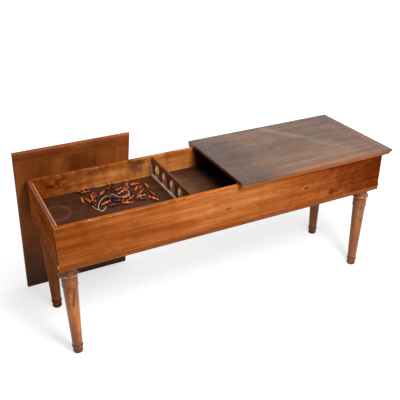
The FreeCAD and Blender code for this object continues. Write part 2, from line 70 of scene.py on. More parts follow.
# Places in the table's own frame that the marks follow
FRONT_FACE = to_table(FRONT_LOW).y
BACK_INSIDE = to_table(BACK_LOW).y
LEFT_FACE = to_table(FRONT_LOW).x
LEFT_RIM = to_table(middle_of("left_end_board")).x
RIM = to_table(FRONT_HIGH).z
LID = to_table(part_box("right_top_middle_plank")[1]).z
DIVIDER_X = to_table(middle_of("arched_divider")).x
DIVIDER_TOP = to_table(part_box("arched_divider")[1]).z
LEG_X, LEG_Y = to_table(middle_of("back_right_leg")).xy
# The play floor's level, in the scene and in the table's own frame
PLAY_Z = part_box("middle_floor_plank")[1].z
PLAY = PLAY_Z * MM_PER_M


# Helpers for objects
def add_object(name, data):
    thing = bpy.data.objects.new(name, data)
    bpy.context.scene.collection.objects.link(thing)
    return thing


def point_at(thing, place, aim):
    """Puts a camera or a lamp at one place in the table's own frame and turns it to another."""
    thing.location = in_table(*place)
    sight = in_table(*aim) - thing.location
    thing.rotation_euler = sight.to_track_quat("-Z", "Y").to_euler()


def mesh_object(name, points, faces, smooth=True):
    mesh = bpy.data.meshes.new(name)
    mesh.from_pydata([tuple(point) for point in points], [], faces)
    mesh.update()
    for polygon in mesh.polygons:
        polygon.use_smooth = smooth
    return add_object(name, mesh)


def node_points(node):
    return np.array([vertex.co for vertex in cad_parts[node].data.vertices])


# Camera
camera_data = bpy.data.cameras.new("camera")
camera_data.sensor_width = 36
camera_data.lens = 53.9
camera = add_object("camera", camera_data)
point_at(camera, place=(-1330, -2490, 2082), aim=(-76, 0, 567))
bpy.context.scene.camera = camera
bpy.context.scene.view_settings.view_transform = "Standard"


# Helper for materials and the world
class Graph:
    """The nodes of a material or a world. Values are numbers, tuples or sockets."""

    def __init__(self, owner):
        self.owner = owner
        owner.use_nodes = True
        self.tree = owner.node_tree
        self.tree.nodes.clear()

    def link(self, value, socket):
        if isinstance(value, bpy.types.NodeSocket):
            self.tree.links.new(value, socket)
        else:
            socket.default_value = value

    def add(self, kind, *values, **settings):
        """A new node, with values for its first inputs. None leaves an input as it is."""
        node = self.tree.nodes.new(kind)
        for key, setting in settings.items():
            setattr(node, key, setting)
        for value, socket in zip(values, node.inputs):
            if value is not None:
                self.link(value, socket)
        return node

    def fill(self, node, **values):
        """Sets inputs of a node by their names, which have underscores for spaces."""
        for name, value in values.items():
            self.link(value, node.inputs[name.replace("_", " ")])
        return node

    def math(self, operation, *values, clamp=False):
        return self.add("ShaderNodeMath", *values, operation=operation, use_clamp=clamp).outputs[0]

    def total(self, *shares):
        """The sum of sockets, each times its share."""
        (value, share), *others = shares
        result = self.math("MULTIPLY", value, share)
        for value, share in others:
            result = self.math("MULTIPLY_ADD", value, share, result)
        return result

    def vector(self, operation, *values):
        node = self.add("ShaderNodeVectorMath", *values, operation=operation)
        return node.outputs["Value" if operation in ("LENGTH", "DOT_PRODUCT") else "Vector"]

    def split(self, vector):
        return self.add("ShaderNodeSeparateXYZ", vector).outputs

    def join(self, x, y, z):
        return self.add("ShaderNodeCombineXYZ", x, y, z).outputs[0]

    def place(self):
        return self.add("ShaderNodeTexCoord").outputs["Object"]

    def noise(self, vector, waves, detail, roughness=0.5, distortion=0.0):
        """A noise with so many waves per metre in each direction."""
        node = self.fill(
            self.add("ShaderNodeTexNoise"),
            Vector=self.vector("MULTIPLY", vector, waves),
            Scale=1.0,
            Detail=detail,
            Roughness=roughness,
            Distortion=distortion,
        )
        return node.outputs["Fac"]

    def fade(self, value, low, high, start=0.0, end=1.0, curve="SMOOTHSTEP"):
        """Start where value is at low, end where it is at high, and a curve between."""
        node = self.add("ShaderNodeMapRange", interpolation_type=curve)
        self.fill(node, Value=value, From_Min=low, From_Max=high, To_Min=start, To_Max=end)
        return node.outputs["Result"]

    def ramp(self, value, stops):
        node = self.add("ShaderNodeValToRGB", value)
        elements = node.color_ramp.elements
        while len(elements) < len(stops):
            elements.new(0.5)
        for element, (position, colour) in zip(elements, stops):
            element.position = position
            element.color = (*colour, 1)
        return node.outputs["Color"]

    def mix(self, amount, first, second, blend="MIX"):
        """Two colours mixed. Of a mix node's many sockets, 6 and 7 take colours, and 2 gives one."""
        node = self.add("ShaderNodeMix", amount, data_type="RGBA", blend_type=blend)
        for value, socket in ((first, node.inputs[6]), (second, node.inputs[7])):
            self.link((*value, 1) if isinstance(value, tuple) else value, socket)
        return node.outputs[2]

    def tinted(self, amount, colour, tint):
        """The colour, multiplied by a tint as far as the amount goes."""
        return self.mix(amount, colour, tint, "MULTIPLY")

    def seen(self):
        """One for rays from the camera, by reflection or through glass."""
        path = self.add("ShaderNodeLightPath").outputs
        indirect = self.math("MAXIMUM", path["Is Glossy Ray"], path["Is Transmission Ray"])
        return self.math("MAXIMUM", path["Is Camera Ray"], indirect)

    def close(self, output, shader):
        """Joins a shader to a new output node and gives back the material or world."""
        self.link(shader.outputs[0], self.add(output).inputs["Surface"])
        return self.owner

    def surface(self, colour, roughness, relief, bump, depth, **sockets):
        """The finished material. Sockets are further inputs of its shader."""
        bumps = self.fill(self.add("ShaderNodeBump"), Strength=bump, Distance=depth, Height=relief)
        shader = self.fill(
            self.add("ShaderNodeBsdfPrincipled"),
            Base_Color=colour,
            Roughness=roughness,
            Normal=bumps.outputs[0],
            **sockets,
        )
        return self.close("ShaderNodeOutputMaterial", shader)


# Wood
# Noises as waves per metre along the fibres, across the face and through the piece, detail and roughness
WANDER_NOISE = ((1.1, 6, 6), 2, 0.5)
FIBRE_NOISES = {
    "figure": ((0.9, 26, 26), 4, 0.6),
    "streak": ((3.5, 150, 150), 3, 0.6),
    "fibre": ((14, 900, 900), 2, 0.6),
    "pore": ((60, 1500, 1500), 1, 0.5),
}
PATCH_NOISES = {
    "ragged": ((30, 30, 30), 3, 0.5),
    "blotch": ((2.2, 7, 7), 3, 0.55),
    "ripple": ((18, 4, 4), 3, 0.6),
    "dull": ((9, 16, 16), 3, 0.5),
}
# What each noise adds to the tone and to the relief
TONE_SHARES = {"streak": 0.34, "figure": 0.5, "fibre": 0.16}
RELIEF_SHARES = {"streak": 0.6, "fibre": 0.4}
PORE_RELIEF_SHARE = -0.5
# Angles and waves of the scratches
SCRATCHES = ((0.5, (6, 420, 6)), (-0.9, (5, 380, 5)), (1.9, (7, 460, 7)))
# Values of a noise between which something fades in
MOST_NOISE = (0.3, 0.7)
BLOTCH_RANGE = (0.38, 0.68)
RIPPLE_RANGE = (0.42, 0.70)
PORE_RANGE = (0.60, 0.72)
SCRATCH_RANGE = (0.68, 0.74)
WEAR_RANGE = (0.35, 0.70)
# Least and largest shares of the width that grime and wear have along an edge
GRIME_WIDTH_SHARES = (0.4, 1.6)
WEAR_WIDTH_SHARES = (0.25, 1.6)
GRIME_TINT = (0.35, 0.3, 0.28)
JOINT_TINT = (0.14, 0.11, 0.1)
JOINT_WIDTHS = (0.0012, 0.004)
RELIEF_DEPTH = 0.0006
# What moves each piece's noises away from those of the piece before
SEED_STEPS = (3.17, 1.73, 2.39)
# Fibres part round a knot as far as this many times its size
KNOT_SPREAD = 10 / 3
# A mark is at full strength up to this share of its size
MARK_CORE_SHARE = 0.2
# Heights between which the pale colour of the arch faces, bare wood and painted highlight, fades in
CUT_AND_HIGHLIGHT_HEIGHTS = (PLAY_Z + 0.03, PLAY_Z + 0.055)
# How far a face that meets another board counts as moved away, so that it has no free edge
FAR_OFF = 1.0


def share_of_size(g, here, size, spread=1.0):
    """How far a place is from a mark's middle, as a share of the mark's size times the spread."""
    shares = tuple(MM_PER_M / (spread * reach) for reach in size)
    return g.vector("LENGTH", g.vector("MULTIPLY", here, shares))


def bent_fibres(g, place, shifted, grain, reach, marks):
    """Places moved aside, so that the fibres wander and part round each knot."""
    wander = g.noise(shifted, *WANDER_NOISE)
    sway = g.math("MULTIPLY", g.math("SUBTRACT", wander, 0.5), reach)
    for mark in marks:
        if "knot" in mark:
            here = g.vector("SUBTRACT", place, tuple(in_table(*mark["at"])))
            aside = g.vector("DOT_PRODUCT", here, tuple(grain[1]))
            far = share_of_size(g, here, mark["size"], KNOT_SPREAD)
            push = g.math("MULTIPLY", g.fade(far, 0.0, 1.0, mark["knot"], 0.0), aside)
            sway = g.math("SUBTRACT", sway, push)
    x, y, z = g.split(shifted)
    return g.join(x, g.math("ADD", y, sway), g.math("ADD", z, sway))


def cut_amount(g, place, grain):
    """Where the arches go through the board: faces across it that don't look up, above the floor. The pale
    colour there is partly bare wood and partly a painted highlight.
    """
    outward = g.add("ShaderNodeTexCoord").outputs["Normal"]
    facing = g.math("ABSOLUTE", g.vector("DOT_PRODUCT", outward, tuple(grain[2])))
    across = g.fade(facing, 0.5, 0.8, 0.95, 0.0)
    not_up = g.fade(g.split(outward)[2], 0.3, 0.7, 1.0, 0.0)
    raised = g.fade(g.split(place)[2], *CUT_AND_HIGHLIGHT_HEIGHTS)
    return g.math("MULTIPLY", across, g.math("MULTIPLY", not_up, raised))


def edge_distance(g, sides, low, high, joints):
    """The distance to the free edges: the middle one of the distances to the three pairs of faces."""
    gaps = []
    for axis in range(3):
        least = low[axis] - (FAR_OFF if (axis, 0) in joints else 0)
        most = high[axis] + (FAR_OFF if (axis, 1) in joints else 0)
        from_low = g.math("SUBTRACT", sides[axis], least)
        to_high = g.math("SUBTRACT", most, sides[axis])
        gaps.append(g.math("MINIMUM", from_low, to_high))
    inner = g.math("MINIMUM", g.math("MAXIMUM", gaps[0], gaps[1]), gaps[2])
    return g.math("MAXIMUM", g.math("MINIMUM", gaps[0], gaps[1]), inner)


def edge_band(g, edge, width_share, width, strength):
    """How strongly a band along the edges shows. Its width varies with the share."""
    reach = g.math("MULTIPLY", width_share, width)
    return g.math("MULTIPLY", g.fade(edge, 0.0, reach, 1.0, 0.0), strength)


def mark_amount(g, place, ragged, mark):
    """How strongly a mark shows: round a point, along a line between two points, or as a ring."""
    here = g.vector("SUBTRACT", place, tuple(in_table(*mark["at"])))
    if "to" in mark:
        way = (Vector(mark["to"]) - Vector(mark["at"])) / MM_PER_M
        share = g.math("DIVIDE", g.vector("DOT_PRODUCT", here, tuple(way)), way.length_squared, clamp=True)
        nearest = g.vector("MULTIPLY", tuple(way), g.join(share, share, share))
        here = g.vector("SUBTRACT", here, nearest)
    far = share_of_size(g, here, mark["size"])
    far = g.math("ADD", far, g.fade(ragged, *MOST_NOISE, -mark["ragged"], mark["ragged"]))
    if "ring" in mark:
        far = g.math("DIVIDE", g.math("ABSOLUTE", g.math("SUBTRACT", far, 1.0)), mark["ring"])
    return g.math("MULTIPLY", g.fade(far, MARK_CORE_SHARE, 1.0, 1.0, 0.0), mark["strength"])


def wood(name, grain, low, high, looks, marks=(), joints=(), seed=0):
    """A wood for one piece. Grain gives the directions along the fibres, across the face and through the
    piece. Low and high are the piece's corners in those directions. Looks holds colours and amounts.
    Joints are the sides that meet another board, as (direction, 0 for low or 1 for high)."""
    g = Graph(bpy.data.materials.new(name))
    place = g.place()
    turn = g.add("ShaderNodeMapping", place, vector_type="POINT")
    turn.inputs["Rotation"].default_value = Matrix(grain).to_euler()
    local = turn.outputs[0]
    sides = g.split(local)
    shifted = g.vector("ADD", local, tuple(seed * step for step in SEED_STEPS))
    bent = bent_fibres(g, place, shifted, grain, looks["sway"], marks)
    noise = {kind: g.noise(bent, *settings) for kind, settings in FIBRE_NOISES.items()}
    noise.update((kind, g.noise(shifted, *settings)) for kind, settings in PATCH_NOISES.items())

    tone = g.total(*((noise[kind], share) for kind, share in TONE_SHARES.items()))
    colour = g.ramp(tone, looks["ramp"])
    colour = g.tinted(g.fade(noise["blotch"], *BLOTCH_RANGE), colour, looks["blotch"])
    colour = g.tinted(g.fade(noise["ripple"], *RIPPLE_RANGE), colour, looks["ripple"])
    pores = g.fade(noise["pore"], *PORE_RANGE)
    colour = g.mix(g.math("MULTIPLY", pores, looks["pores"]), colour, looks["pore_colour"])
    if "cut" in looks:
        colour = g.mix(cut_amount(g, place, grain), colour, looks["cut"])

    edge = edge_distance(g, sides, low, high, joints)
    share = g.fade(noise["blotch"], *MOST_NOISE, *GRIME_WIDTH_SHARES)
    grime = edge_band(g, edge, share, looks["grime_width"], looks["grime"])
    colour = g.tinted(grime, colour, GRIME_TINT)
    share = g.fade(noise["ragged"], *WEAR_RANGE, *WEAR_WIDTH_SHARES)
    wear = edge_band(g, edge, share, looks["wear_width"], looks["wear"])
    colour = g.mix(wear, colour, looks["wear_colour"])
    for axis, end in joints:
        level = (low, high)[end][axis]
        apart = g.math("ABSOLUTE", g.math("SUBTRACT", sides[axis], level))
        width = g.fade(noise["ragged"], *MOST_NOISE, *JOINT_WIDTHS)
        colour = g.tinted(g.fade(apart, 0.0, width, looks["joint"], 0.0), colour, JOINT_TINT)

    for mark in marks:
        amount = mark_amount(g, place, noise["ragged"], mark)
        colour = g.mix(amount, colour, mark["colour"], mark["blend"])
    if "scratches" in looks:
        for angle, waves in SCRATCHES:
            line = g.add("ShaderNodeVectorRotate", shifted, (0, 0, 0), (0, 0, 1), angle).outputs[0]
            scratch = g.fade(g.noise(line, waves, 1), *SCRATCH_RANGE)
            colour = g.mix(g.math("MULTIPLY", scratch, looks["scratches"]), colour, looks["wear_colour"])
    roughness = g.fade(noise["dull"], *MOST_NOISE, *looks["roughness"])
    raised = ((noise[kind], share) for kind, share in RELIEF_SHARES.items())
    relief = g.total(*raised, (pores, PORE_RELIEF_SHARE))
    bump, gloss = looks["bump"], looks["gloss"]
    return g.surface(colour, roughness, relief, bump, RELIEF_DEPTH, Specular_IOR_Level=gloss)


# Looks of the woods. A ramp goes from dark to light fibres, blotch and ripple are tints, and roughness goes
# from the least to the most. Widths and sway are in metres. The other numbers are strengths from 0 to 1.
WALNUT = {
    "ramp": [(0.34, (0.23, 0.05, 0.008)), (0.50, (0.39, 0.108, 0.022)), (0.66, (0.56, 0.20, 0.06))],
    "blotch": (0.72, 0.62, 0.55),
    "ripple": (0.9, 0.85, 0.8),
    "pores": 0.35,
    "pore_colour": (0.12, 0.03, 0.008),
    "sway": 0.05,
    "wear_width": 0.003,
    "wear": 0.6,
    "wear_colour": (0.62, 0.28, 0.10),
    "grime_width": 0.012,
    "grime": 0.3,
    "joint": 0.8,
    "roughness": (0.38, 0.55),
    "gloss": 0.04,
    "bump": 0.22,
}
END = dict(
    WALNUT,
    ramp=[(0.30, (0.31, 0.065, 0.011)), (0.50, (0.57, 0.138, 0.028)), (0.70, (0.75, 0.23, 0.055))],
    roughness=(0.6, 0.75),
    gloss=0.0,
)
BACK = dict(
    WALNUT,
    ramp=[(0.36, (0.29, 0.08, 0.012)), (0.50, (0.48, 0.17, 0.034)), (0.64, (0.62, 0.27, 0.077))],
    blotch=(0.6, 0.46, 0.36),
    ripple=(0.72, 0.62, 0.54),
)
PANEL = dict(
    WALNUT,
    ramp=[(0.26, (0.15, 0.036, 0.006)), (0.50, (0.28, 0.075, 0.013)), (0.74, (0.40, 0.125, 0.026))],
    blotch=(0.6, 0.54, 0.5),
    wear_colour=(0.22, 0.10, 0.05),
    joint=0.35,
    roughness=(0.45, 0.62),
    gloss=0.12,
)
DULL = dict(
    WALNUT,
    ramp=[(0.34, (0.065, 0.028, 0.013)), (0.50, (0.14, 0.068, 0.033)), (0.66, (0.23, 0.122, 0.067))],
    blotch=(0.7, 0.65, 0.62),
    ripple=(0.78, 0.74, 0.71),
    wear_colour=(0.30, 0.17, 0.09),
    pore_colour=(0.06, 0.03, 0.02),
    roughness=(0.34, 0.5),
    gloss=0.5,
    scratches=0.14,
)
NOSING = dict(
    WALNUT,
    ramp=[(0.30, (0.32, 0.066, 0.005)), (0.50, (0.52, 0.122, 0.011)), (0.70, (0.68, 0.19, 0.024))],
    wear=0.2,
    wear_colour=(0.5, 0.2, 0.06),
    gloss=0.06,
)
FLOOR = dict(
    WALNUT,
    ramp=[(0.30, (0.027, 0.008, 0.003)), (0.50, (0.05, 0.0165, 0.006)), (0.70, (0.08, 0.03, 0.013))],
    blotch=(0.66, 0.62, 0.6),
    wear=0.0,
    roughness=(0.5, 0.65),
    gloss=0.12,
    grime_width=0.03,
    scratches=0.06,
)
LEG = dict(
    WALNUT,
    ramp=[(0.34, (0.18, 0.05, 0.014)), (0.50, (0.34, 0.11, 0.035)), (0.66, (0.48, 0.176, 0.065))],
    wear=0.0,
    grime=0.0,
    roughness=(0.2, 0.32),
    gloss=0.2,
)
BACK_LEG = dict(LEG, roughness=(0.45, 0.6), gloss=0.02)
BARE = dict(
    WALNUT,
    ramp=[(0.36, (0.24, 0.13, 0.06)), (0.50, (0.36, 0.21, 0.10)), (0.64, (0.46, 0.29, 0.15))],
    wear_colour=(0.5, 0.34, 0.2),
    roughness=(0.6, 0.8),
    gloss=0.15,
)
STRIP = dict(
    BARE,
    ramp=[(0.30, (0.31, 0.21, 0.135)), (0.50, (0.48, 0.37, 0.26)), (0.70, (0.62, 0.50, 0.39))],
)
# A darker wood for the front and back base mouldings: painted shade at the foot of the case
BASE_IN_PAINTED_SHADE = dict(
    WALNUT,
    ramp=[(0.30, (0.14, 0.035, 0.008)), (0.50, (0.24, 0.065, 0.014)), (0.70, (0.34, 0.10, 0.024))],
    wear=0.3,
    wear_colour=(0.4, 0.16, 0.05),
)
DIVIDER = dict(
    WALNUT,
    ramp=[(0.30, (0.185, 0.065, 0.019)), (0.50, (0.34, 0.127, 0.04)), (0.70, (0.48, 0.21, 0.085))],
    wear=0.0,
    # The pale arch faces: bare wood and a painted highlight
    cut=(0.62, 0.51, 0.40),
)
# A paler wood for the end base mouldings: a painted highlight along the bead
BEAD_WITH_PAINTED_HIGHLIGHT = dict(
    END,
    ramp=[(0.30, (0.40, 0.13, 0.05)), (0.50, (0.56, 0.22, 0.10)), (0.70, (0.70, 0.32, 0.17))],
)
FRONT = dict(WALNUT, gloss=0.0)


# Marks on the woods: stains, knots and wear, and some painted light and shade
def spot(at, size, colour, strength, ragged=0.25, blend="MULTIPLY", **more):
    """A mark on a wood, with its place and size in millimetres. Its colour multiplies the wood's or covers
    it, and ragged says how far its rim strays. More may hold to, the far end of a line, ring, the width of a
    ring as a share of its size, or knot, how strongly the fibres part."""
    return dict(at=at, size=size, colour=colour, strength=strength, ragged=ragged, blend=blend, **more)


def line_along_x(start, end, y, z, *look):
    """A mark along a line. Look holds what a spot has after its place."""
    return spot((start, y, z), *look, to=(end, y, z))


def line_along_y(x, start, end, z, *look):
    """A mark along a line. Look holds what a spot has after its place."""
    return spot((x, start, z), *look, to=(x, end, z))


def leg_marks(x, y):
    """The dirty foot of a leg, the dark lines beside its turned rings and a painted highlight on a ring
    edge.
    """
    return [
        spot((x, y, 0), (90, 90, 70), (0.32, 0.3, 0.33), 0.95, 0.2),
        spot((x, y, 49), (90, 90, 5), (0.3, 0.25, 0.22), 0.8, 0.1),
        # Painted highlight along the ring edge under the neck
        spot((x, y, 474), (90, 90, 4), (0.75, 0.5, 0.3), 0.5, 0.3, "MIX"),
        spot((x, y, 459), (90, 90, 5), (0.35, 0.28, 0.24), 0.8, 0.1),
        spot((x, y, 403), (90, 90, 5), (0.4, 0.32, 0.28), 0.8, 0.1),
    ]


PALE_LID = (0.34, 0.23, 0.16)
# The lid's joint edge darkened: partly dark end grain, partly painted shade
DARK_END_AND_SHADE = line_along_y(1, -300, 300, 765, (5, 40, 40), (0.3, 0.26, 0.24), 0.9, 0.1)
# Painted shade on the lower part of the leaning half top, beside the table
LOW_PANEL_SHADE = spot((-660, 400, 60), (700, 300, 400), (0.11, 0.052, 0.026), 0.85, 0.1, "MIX")
FLOOR_MARKS = [
    spot((-815, 65, PLAY), (60, 70, 30), (0.105, 0.046, 0.027), 0.45, 0.04, "MIX", ring=0.25),
    spot((-815, 60, PLAY), (65, 80, 30), (1.2, 0.85, 0.65), 0.6, 0.4),
    spot((-330, 0, PLAY), (100, 260, 30), (0.65, 0.65, 0.75), 0.6, 0.5),
    # Painted light and grey sheen on the open floor beside the divider
    spot((-160, 0, PLAY), (110, 400, 30), (2.0, 2.7, 3.9), 0.9, 0.15),
    # Painted shade on the floor under the pile of pins
    spot((-550, 70, PLAY), (170, 90, 30), (0.5, 0.38, 0.34), 0.8, 0.3),
    # Painted shade on the floor under the right lid
    line_along_x(60, 800, 0, PLAY, (85, 1500, 30), (0.16, 0.1, 0.1), 1.0, 0.05),
]
MARKS = {
    "front_board": [
        # Painted shade: the front darkens towards its left end, where the light falls off
        spot((-930, FRONT_FACE, 640), (560, 60, 260), (0.72, 0.62, 0.45), 1.0, 0.1),
        # Darker and more saturated towards the right end: partly a darker tone, partly painted shade
        spot((1000, FRONT_FACE, 620), (720, 60, 400), (0.37, 0.21, 0.14), 1.0, 0.1),
        # Painted shadow of the right lid's overhang on the front board
        spot((430, FRONT_FACE, 735), (420, 60, 24), (0.85, 0.76, 0.7), 0.9, 0.2),
        # Painted sheen: paler in the middle of the front
        spot((60, FRONT_FACE, 670), (420, 60, 90), (1.05, 1.25, 1.5), 0.8, 0.2),
        spot((415, FRONT_FACE, 645), (22, 30, 12), (0.3, 0.22, 0.2), 0.8, knot=0.7),
        spot((400, FRONT_FACE, 645), (60, 30, 24), (1.6, 1.9, 2.4), 0.6),
        spot((585, FRONT_FACE, 590), (60, 30, 28), (0.35, 0.28, 0.26), 0.7, 0.4),
        spot((-50, FRONT_FACE, 640), (26, 30, 9), (0.35, 0.28, 0.25), 0.75, knot=0.7),
        spot((-165, FRONT_FACE, 620), (18, 30, 7), (0.45, 0.36, 0.3), 0.7, knot=0.7),
        spot((90, FRONT_FACE, 615), (16, 30, 7), (0.35, 0.28, 0.25), 0.75, knot=0.7),
        spot((-745, FRONT_FACE + 10, RIM), (11, 9, 5), (0.45, 0.36, 0.27), 0.9, blend="MIX"),
    ],
    "back_board": [
        # Painted shade on the inside of the back board near the left end
        spot((-850, BACK_INSIDE, 700), (330, 60, 120), (0.5, 0.32, 0.14), 1.0, 0.2),
        # Paler in the middle: partly a paler honey tone, partly a painted highlight
        spot((-560, BACK_INSIDE, 690), (260, 60, 60), (1.45, 1.65, 2.4), 0.9, 0.2),
        spot((-790, BACK_INSIDE, 700), (65, 40, 25), (0.2, 0.15, 0.12), 0.85, 0.45, knot=0.7),
        spot((-690, BACK_INSIDE, 700), (80, 40, 20), (1.25, 1.25, 1.1), 0.8, 0.5),
        spot((-580, BACK_INSIDE, 725), (80, 40, 14), (0.55, 0.45, 0.4), 0.7, 0.5),
        # Painted highlight along the foot of the back board
        line_along_x(-640, -300, BACK_INSIDE, PLAY + 5, (30, 30, 5), (1.5, 1.6, 1.8), 0.8, 0.3),
        spot((-715, BACK_INSIDE, 730), (60, 40, 14), (0.4, 0.33, 0.28), 0.7, 0.4),
        spot((-530, BACK_INSIDE, 745), (50, 40, 14), (0.45, 0.38, 0.32), 0.7, 0.4),
        spot((-330, BACK_INSIDE, 725), (70, 40, 60), (0.42, 0.42, 0.95), 0.85, 0.4),
        spot((-120, BACK_INSIDE, 735), (130, 60, 40), (0.72, 0.6, 0.5), 0.9, 0.3),
        # Painted shade on the back board under the right lid
        line_along_x(60, 800, BACK_INSIDE, 700, (85, 15, 400), (0.22, 0.17, 0.15), 1.0, 0.05),
    ],
    "front_floor_plank": FLOOR_MARKS,
    "middle_floor_plank": FLOOR_MARKS,
    "back_floor_plank": FLOOR_MARKS,
    "arched_divider": [
        line_along_y(DIVIDER_X, -230, 230, DIVIDER_TOP, (20, 30, 5), (0.35, 0.3, 0.28), 0.9, 0.1),
    ],
    "left_end_board": [
        # Painted sheen low on the left end board
        spot((LEFT_FACE, -190, 590), (30, 90, 70), (1.15, 1.35, 2.2), 0.8, 0.4),
        spot((LEFT_FACE, -20, 680), (30, 110, 50), (0.55, 0.45, 0.4), 0.8, 0.5),
        line_along_y(LEFT_RIM, -200, 200, RIM, (30, 100, 6), (0.12, 0.05, 0.045), 0.85, 0.3, "MIX"),
        line_along_y(LEFT_RIM + 8, -240, 200, RIM, (4, 10, 6), (0.5, 0.25, 0.12), 0.8, 0.3, "MIX"),
    ],
    "front_left_leg": [
        # Painted light: the front left leg made brighter than the other legs
        spot((-LEG_X, -LEG_Y, 250), (90, 90, 240), (1.75, 1.8, 1.4), 1.0, 0.2),
        # Painted shade at the top of the leg, under the case
        spot((-LEG_X, -LEG_Y, 520), (90, 90, 60), (0.5, 0.33, 0.1), 1.0, 0.2),
        spot((-855, -230, 310), (10, 14, 26), (0.25, 0.2, 0.18), 0.85, 0.3, to=(-845, -230, 390)),
        spot((-865, -230, 190), (6, 14, 60), (0.6, 0.52, 0.46), 0.7, 0.3),
    ],
    "front_right_leg": [
        spot((LEG_X, -LEG_Y, 300), (90, 90, 420), (0.84, 0.88, 0.95), 1.0, 0.1),
        # Painted shade at the top of the leg, under the case
        spot((LEG_X, -LEG_Y, 520), (90, 90, 50), (0.62, 0.5, 0.36), 1.0, 0.2),
        spot((850, -230, 320), (12, 14, 16), (0.35, 0.32, 0.34), 0.8, 0.3),
        spot((840, -225, 420), (7, 14, 60), (0.6, 0.52, 0.46), 0.7, 0.3),
    ],
    "back_left_leg": [],
    "back_right_leg": [
        # Painted shade: the back right leg darkened as if in the table's shadow
        spot((LEG_X, LEG_Y, 300), (90, 90, 420), (0.84, 0.83, 0.62), 1.0, 0.1),
    ],
    "right_top_middle_plank": [
        spot((615, 40, LID), (40, 40, 20), PALE_LID, 0.14, 0.2, "MIX", to=(735, -190, LID)),
        spot((40, -60, LID), (300, 300, 20), (0.38, 0.33, 0.32), 0.9, 0.08),
        DARK_END_AND_SHADE,
    ],
    "right_top_back_plank": [
        spot((460, 245, LID), (36, 36, 20), PALE_LID, 0.22, 0.2, "MIX", to=(610, 40, LID)),
        spot((700, 75, LID), (60, 7, 20), (0.55, 0.5, 0.5), 0.6, 0.2),
        spot((60, 140, LID), (260, 220, 20), (0.4, 0.36, 0.35), 0.9, 0.08),
        spot((365, 225, LID), (60, 26, 20), (1.25, 0.95, 0.7), 0.6, 0.4),
        DARK_END_AND_SHADE,
    ],
    "right_top_front_plank": [
        spot((40, -240, LID), (300, 240, 20), (0.42, 0.37, 0.36), 0.9, 0.08),
        line_along_x(250, 850, -290, LID, (60, 35, 20), (1.7, 1.2, 0.75), 0.75, 0.6),
        DARK_END_AND_SHADE,
    ],
    "left_top_middle_plank": [
        spot((-550, 260, 765), (4, 20, 8), (0.16, 0.12, 0.1), 0.9, 0.1, to=(-550, 250, 810)),
        spot((-640, 260, 770), (170, 60, 50), (0.65, 0.6, 0.6), 0.6, 0.4),
        LOW_PANEL_SHADE,
    ],
    "left_top_front_plank": [LOW_PANEL_SHADE],
    "left_top_back_plank": [LOW_PANEL_SHADE],
}
for end, x in (("left", -LEG_X), ("right", LEG_X)):
    for side, y in (("front", -LEG_Y), ("back", LEG_Y)):
        MARKS[f"{side}_{end}_leg"] += leg_marks(x, y)

# Sides of boards that meet other boards, as (direction, 0 for low or 1 for high)
JOINTS = {
    "left_end_board": [(0, 0), (0, 1)],
    "right_end_board": [(0, 0), (0, 1)],
    "front_floor_plank": [(1, 1)],
    "middle_floor_plank": [(1, 0), (1, 1)],
    "back_floor_plank": [(1, 0)],
    "right_top_front_plank": [(0, 1), (1, 1)],
    "right_top_middle_plank": [(0, 1), (1, 0), (1, 1)],
    "right_top_back_plank": [(0, 1), (1, 0)],
    "right_top_clamp": [(1, 1)],
    "left_top_front_plank": [(0, 0), (1, 0)],
    "left_top_middle_plank": [(0, 0), (1, 0), (1, 1)],
    "left_top_back_plank": [(0, 0), (1, 1)],
    "left_top_clamp": [(1, 0)],
}

# The leaning half top's direction down its planks, from the middles of its upper and lower ends
END_DEPTH = 0.002
lean_points = node_points("left_top_middle_plank")
lean_heights = lean_points[:, 2]
lean_top = lean_points[lean_heights > lean_heights.max() - END_DEPTH].mean(0)
lean_foot = lean_points[lean_heights < lean_heights.min() + END_DEPTH].mean(0)
DOWN = Vector((0, lean_foot[1] - lean_top[1], lean_foot[2] - lean_top[2])).normalized()

# Directions along the fibres, across the face and through the piece
X, Y, Z = Vector((1, 0, 0)), Vector((0, 1, 0)), Vector((0, 0, 1))
GRAINS = {
    "along": (X, Z, -Y),
    "across": (Y, Z, X),
    "upright": (Z, X, Y),
    "flat along": (X, Y, Z),
    "flat across": (Y, -X, Z),
    "leaning along": (DOWN, X, DOWN.cross(X)),
    "leaning across": (X, -DOWN, DOWN.cross(X)),
}
# How a node's name starts and ends, and its grain and looks. The first row that fits a node holds.
WOODS = [
    ("right_top", "plank", "flat along", DULL),
    ("right_top", "clamp", "flat across", DULL),
    ("right_top", "batten", "flat across", BARE),
    ("right_top", "end_moulding", "across", NOSING),
    ("right_top", "moulding", "along", NOSING),
    ("left_top", "batten", "leaning across", BARE),
    ("left_top", "clamp", "leaning across", PANEL),
    ("left_top", "end_moulding", "leaning across", PANEL),
    ("left_top", "", "leaning along", PANEL),
    ("back_left", "leg", "upright", BACK_LEG),
    ("", "leg", "upright", LEG),
    ("", "block", "upright", BARE),
    ("", "cleat", "upright", STRIP),
    ("front", "bearer", "along", BARE),
    ("back", "bearer", "along", BARE),
    ("", "bearer", "across", BARE),
    ("", "floor_plank", "flat along", FLOOR),
    ("", "arched_divider", "across", DIVIDER),
    ("", "divider_sill", "across", STRIP),
    ("", "front_board", "along", FRONT),
    ("", "back_board", "along", BACK),
    ("", "end_board", "across", END),
    ("front", "base_moulding", "along", BASE_IN_PAINTED_SHADE),
    ("back", "base_moulding", "along", BASE_IN_PAINTED_SHADE),
    ("", "base_moulding", "across", BEAD_WITH_PAINTED_HIGHLIGHT),
]
GAME_NODES = ("lying_pins", "standing_pins", "spinning_top", "pull_cord", "cord_tail", "cord_knot")
